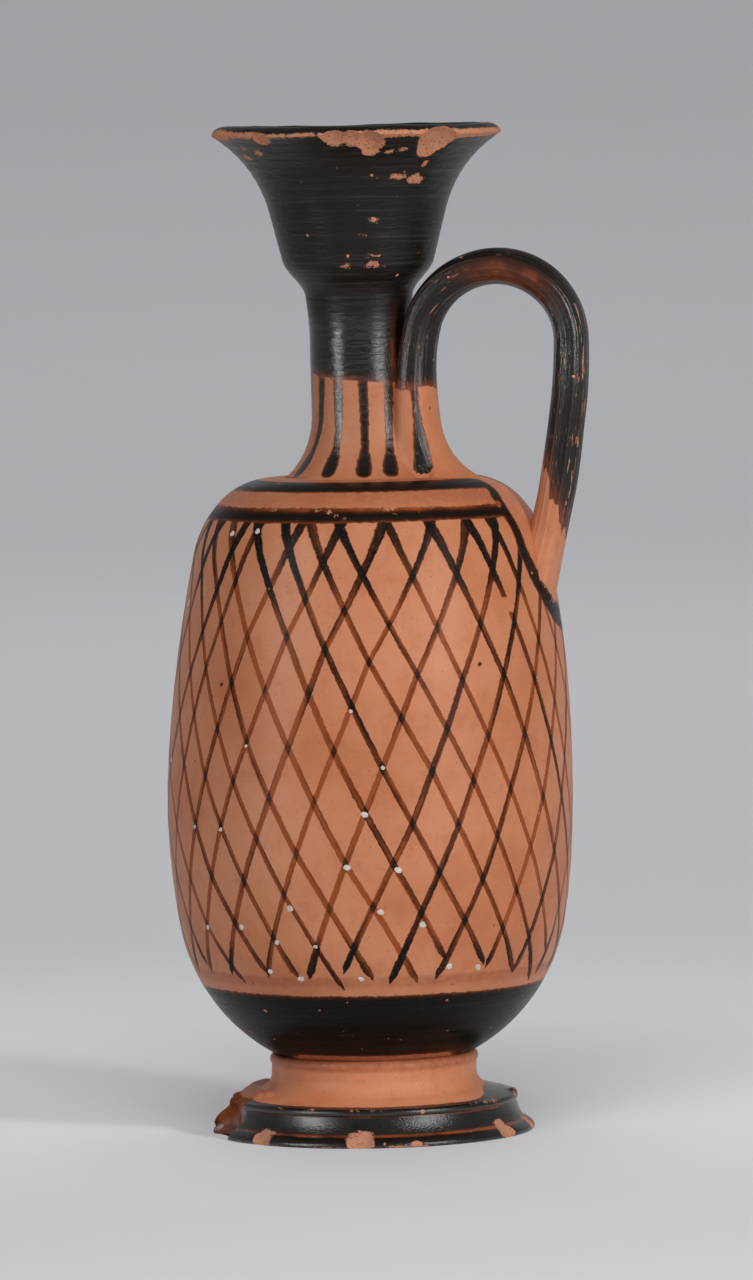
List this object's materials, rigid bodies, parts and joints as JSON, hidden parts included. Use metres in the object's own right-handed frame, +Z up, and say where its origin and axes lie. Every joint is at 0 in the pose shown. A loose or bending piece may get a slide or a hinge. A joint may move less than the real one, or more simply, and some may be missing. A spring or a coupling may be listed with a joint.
{
  "type": "lekythos oil flask",
  "caption": "Slender ceramic oil flask with a looped strap handle, flared mouth cup, narrow neck, net-painted body and a disc foot to stand on",
  "frame": {"origin": "on the vessel's axis, in the plane that the foot's resting ring stands on", "axes": "+Z up along the axis to the mouth, +X towards the handle's lower end, +Y completes the frame"},
  "size_m": [0.0693, 0.0644, 0.16],
  "materials": {
    "clay_foot": "fired orange clay, disc edge painted with black gloss slip",
    "clay_body": "fired orange clay, smoothed, painted with a black net and bands",
    "clay_neck": "fired orange clay, upper half black gloss slip with black tongues below",
    "black_gloss_mouth": "black gloss slip with wheel marks and chipped lip",
    "black_gloss_handle": "black gloss slip, reserved clay at the lower end",
    "clay_slip": "fired luting slip, matt"
  },
  "bodies": {
    "root": {"foot": "clay_foot", "body": "clay_body", "neck": "clay_neck", "mouth": "black_gloss_mouth", "handle": "black_gloss_handle", "foot_luting": "clay_slip", "neck_luting": "clay_slip", "mouth_luting": "clay_slip", "handle_root_luting": "clay_slip", "handle_base_luting": "clay_slip"}
  },
  "joints": []
}
